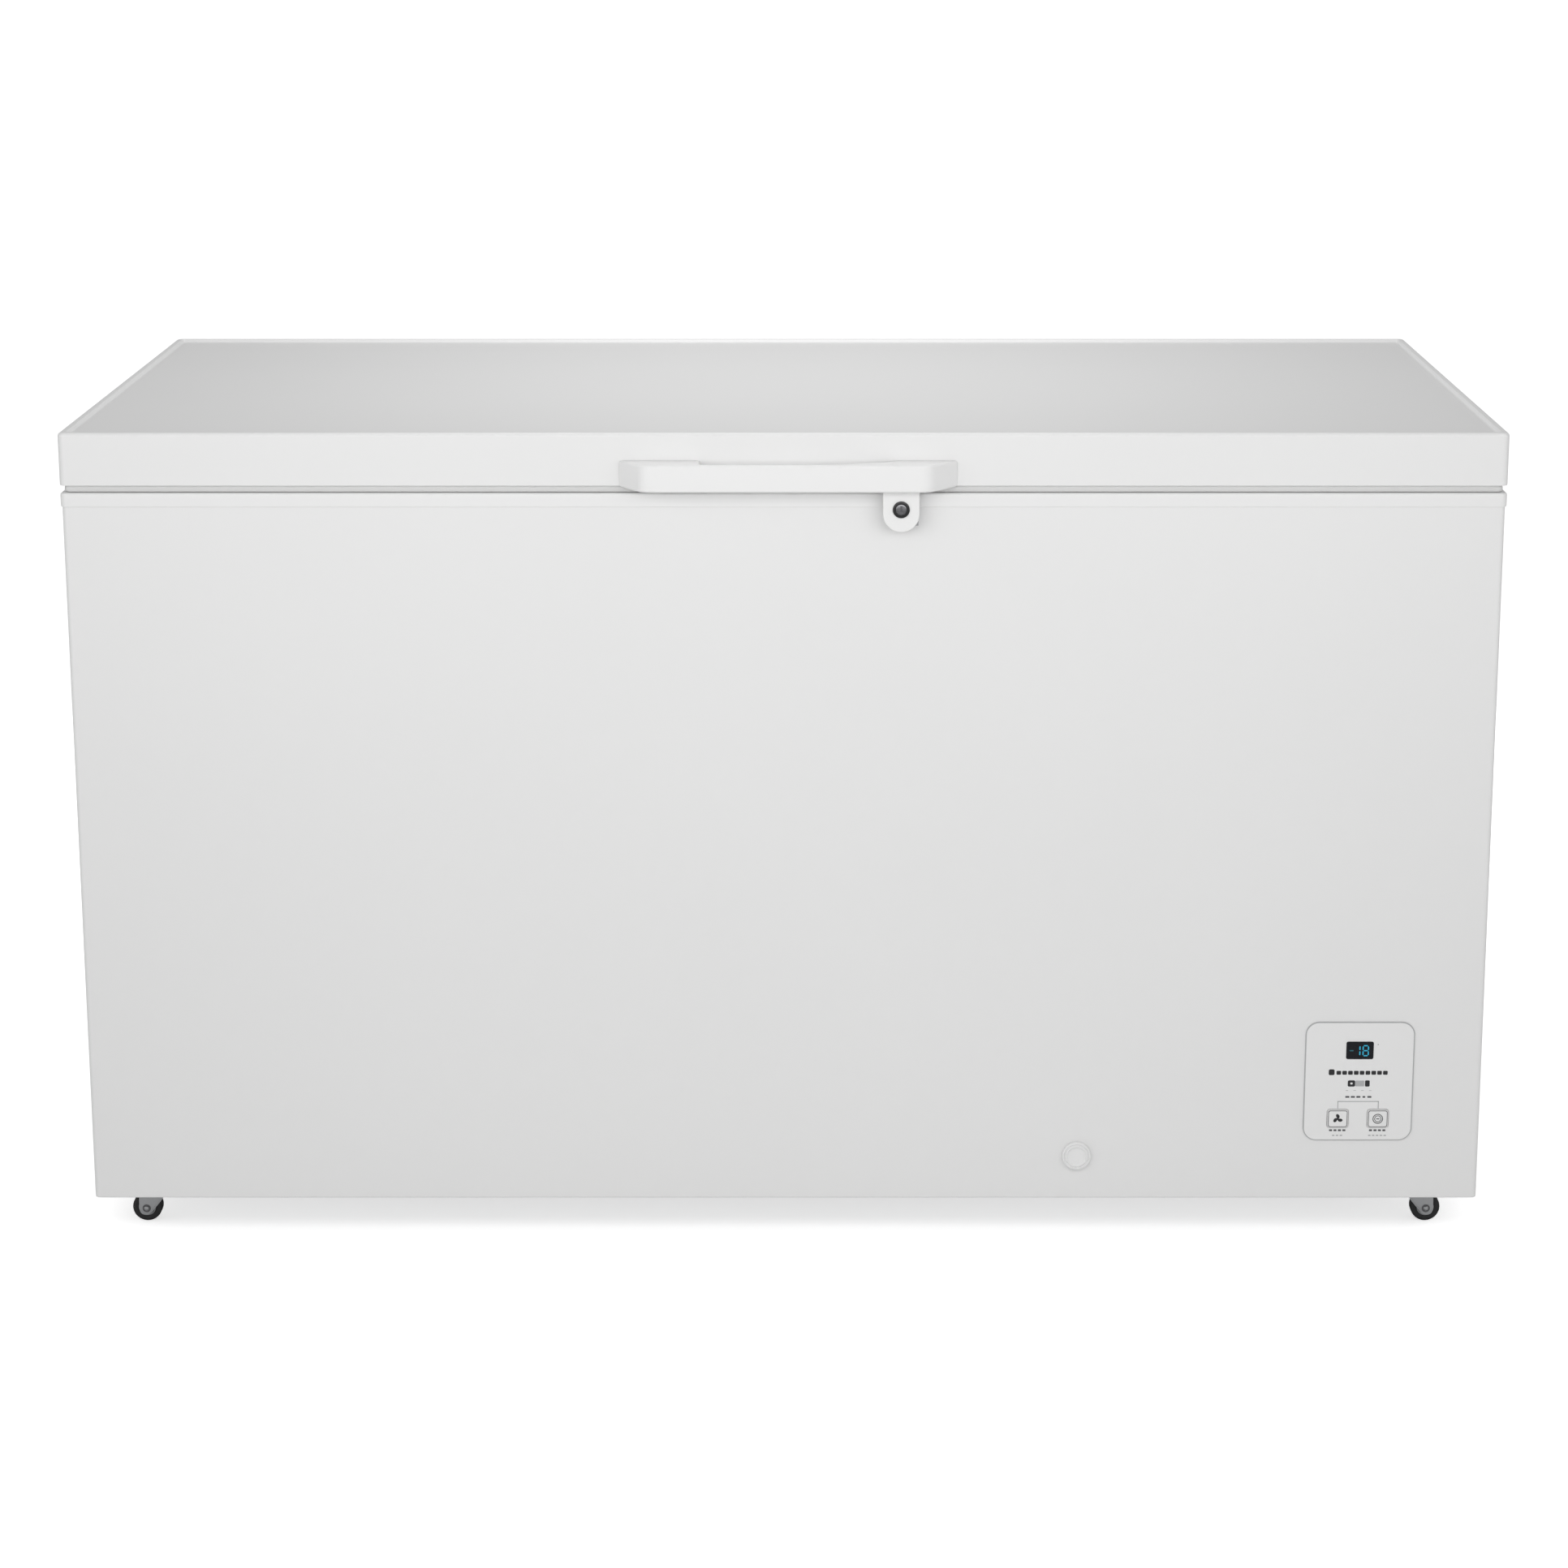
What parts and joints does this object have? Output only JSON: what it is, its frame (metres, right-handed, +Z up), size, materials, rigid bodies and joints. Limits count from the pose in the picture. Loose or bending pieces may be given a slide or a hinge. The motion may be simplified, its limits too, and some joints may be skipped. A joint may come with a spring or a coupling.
{
  "type": "chest freezer",
  "caption": "Wide white chest freezer on low swivel casters, with a hinged lockable lid, a bar handle, a corner control panel and a drain plug.",
  "frame": {"origin": "on the floor under the middle of the bounding box", "axes": "+Z up, -Y the front with the handle, +X the user's right, where the compressor bay is"},
  "size_m": [1.44, 0.756, 0.85],
  "materials": {
    "white_paint": "smooth gloss powder coat",
    "white_plastic": "moulded, satin",
    "white_liner": "formed sheet, smooth",
    "zinc_steel": "zinc plated",
    "zinc_sheet": "galvanised sheet",
    "foam": "cut foam, matte",
    "rubber_grey": "soft, matte",
    "rubber_black": "soft, matte",
    "black_enamel": "semi-gloss enamel",
    "black_plastic": "fine texture",
    "copper": "drawn tube, slightly dull",
    "dark_steel": "dark wire",
    "aluminium_tube": "drawn tube",
    "grey_plastic": "moulded, matte",
    "dark_window": "polished",
    "board_green": "coated board",
    "lock_metal": "die cast, plated",
    "basket_wire": "plastic coated wire",
    "tyre_black": "solid tread, matte"
  },
  "bodies": {
    "cabinet": {"front_panel": "white_paint", "left_side_panel": "white_paint", "right_side_panel": "white_paint", "back_panel": "white_paint", "base_pan": "zinc_sheet", "caster_rails": "zinc_sheet", "caster_plates": "zinc_steel", "foam_insulation": "foam", "inner_liner": "white_liner", "top_rim_frame": "white_plastic", "bay_wall": "zinc_sheet", "side_grille": "white_plastic", "rear_bay_cover": "zinc_sheet", "compressor": "black_enamel", "compressor_grommets": "rubber_black", "compressor_bolts": "zinc_steel", "relay_cover": "black_plastic", "filter_drier": "copper", "discharge_tube": "copper", "suction_tube": "copper", "capillary_tube": "copper", "condenser_coil": "dark_steel", "evaporator_coil": "aluminium_tube", "drain_hose": "grey_plastic", "control_panel": "white_plastic", "display_window": "dark_window", "control_board": "board_green", "lock_keeper": "zinc_steel", "hinge_bases": "zinc_steel", "hinge_pins": "zinc_steel", "hinge_springs": "dark_steel", "cabinet_screws": "zinc_steel", "cord_gland": "rubber_black"},
    "lid": {"lid_skin": "white_paint", "lid_foam": "foam", "lid_liner": "white_liner", "lid_gasket": "rubber_grey", "handle": "white_plastic", "lid_screws": "zinc_steel", "hinge_arms": "zinc_steel"},
    "lock": {"lock_barrel": "lock_metal", "lock_cam": "zinc_steel"},
    "fridge_button": {"fridge_button": "white_plastic"},
    "freeze_button": {"freeze_button": "white_plastic"},
    "drain_cap": {"drain_cap": "white_plastic"},
    "drain_bung": {"drain_bung": "white_plastic"},
    "left_basket": {"left_basket": "basket_wire"},
    "right_basket": {"right_basket": "basket_wire"},
    "caster_front_left": {"fork_front_left": "zinc_steel"},
    "wheel_front_left": {"hub_front_left": "grey_plastic", "tyre_front_left": "tyre_black"},
    "caster_front_right": {"fork_front_right": "zinc_steel"},
    "wheel_front_right": {"hub_front_right": "grey_plastic", "tyre_front_right": "tyre_black"},
    "caster_rear_left": {"fork_rear_left": "zinc_steel"},
    "wheel_rear_left": {"hub_rear_left": "grey_plastic", "tyre_rear_left": "tyre_black"},
    "caster_rear_right": {"fork_rear_right": "zinc_steel"},
    "wheel_rear_right": {"hub_rear_right": "grey_plastic", "tyre_rear_right": "tyre_black"}
  },
  "joints": [
    {"name": "lid_hinge", "type": "hinge", "parent": "cabinet", "child": "lid", "pos_m": [0, 0.368, 0.792], "axis": [-1, 0, 0], "range_deg": [0, 80]},
    {"name": "lock_turn", "type": "hinge", "parent": "lid", "child": "lock", "pos_m": [0.1166, -0.358, 0.7766], "axis": [0, -1, 0], "range_deg": [0, 90]},
    {"name": "fridge_button_press", "type": "slide", "parent": "cabinet", "child": "fridge_button", "axis": [0, 1, 0], "range_m": [0, 0.001], "stiffness_N_per_m": 500},
    {"name": "freeze_button_press", "type": "slide", "parent": "cabinet", "child": "freeze_button", "axis": [0, 1, 0], "range_m": [0, 0.001], "stiffness_N_per_m": 500},
    {"name": "drain_cap_pull", "type": "slide", "parent": "cabinet", "child": "drain_cap", "axis": [0, -1, 0], "range_m": [0, 0.02]},
    {"name": "drain_bung_lift", "type": "slide", "parent": "cabinet", "child": "drain_bung", "axis": [0, 0, 1], "range_m": [0, 0.03]},
    {"name": "left_basket_slide", "type": "slide", "parent": "cabinet", "child": "left_basket", "axis": [1, 0, 0], "range_m": [0, 0.3]},
    {"name": "right_basket_slide", "type": "slide", "parent": "cabinet", "child": "right_basket", "axis": [-1, 0, 0], "range_m": [0, 0.3]},
    {"name": "swivel_front_left", "type": "hinge", "parent": "cabinet", "child": "caster_front_left", "pos_m": [-0.663, -0.28, 0.045], "axis": [0, 0, 1], "continuous": true},
    {"name": "roll_front_left", "type": "hinge", "parent": "caster_front_left", "child": "wheel_front_left", "pos_m": [-0.675, -0.28, 0.0154], "axis": [0, 1, 0], "continuous": true},
    {"name": "swivel_front_right", "type": "hinge", "parent": "cabinet", "child": "caster_front_right", "pos_m": [0.663, -0.28, 0.045], "axis": [0, 0, 1], "continuous": true},
    {"name": "roll_front_right", "type": "hinge", "parent": "caster_front_right", "child": "wheel_front_right", "pos_m": [0.675, -0.28, 0.0154], "axis": [0, 1, 0], "continuous": true},
    {"name": "swivel_rear_left", "type": "hinge", "parent": "cabinet", "child": "caster_rear_left", "pos_m": [-0.663, 0.296, 0.045], "axis": [0, 0, 1], "continuous": true},
    {"name": "roll_rear_left", "type": "hinge", "parent": "caster_rear_left", "child": "wheel_rear_left", "pos_m": [-0.675, 0.296, 0.0154], "axis": [0, 1, 0], "continuous": true},
    {"name": "swivel_rear_right", "type": "hinge", "parent": "cabinet", "child": "caster_rear_right", "pos_m": [0.663, 0.296, 0.045], "axis": [0, 0, 1], "continuous": true},
    {"name": "roll_rear_right", "type": "hinge", "parent": "caster_rear_right", "child": "wheel_rear_right", "pos_m": [0.675, 0.296, 0.0154], "axis": [0, 1, 0], "continuous": true}
  ]
}
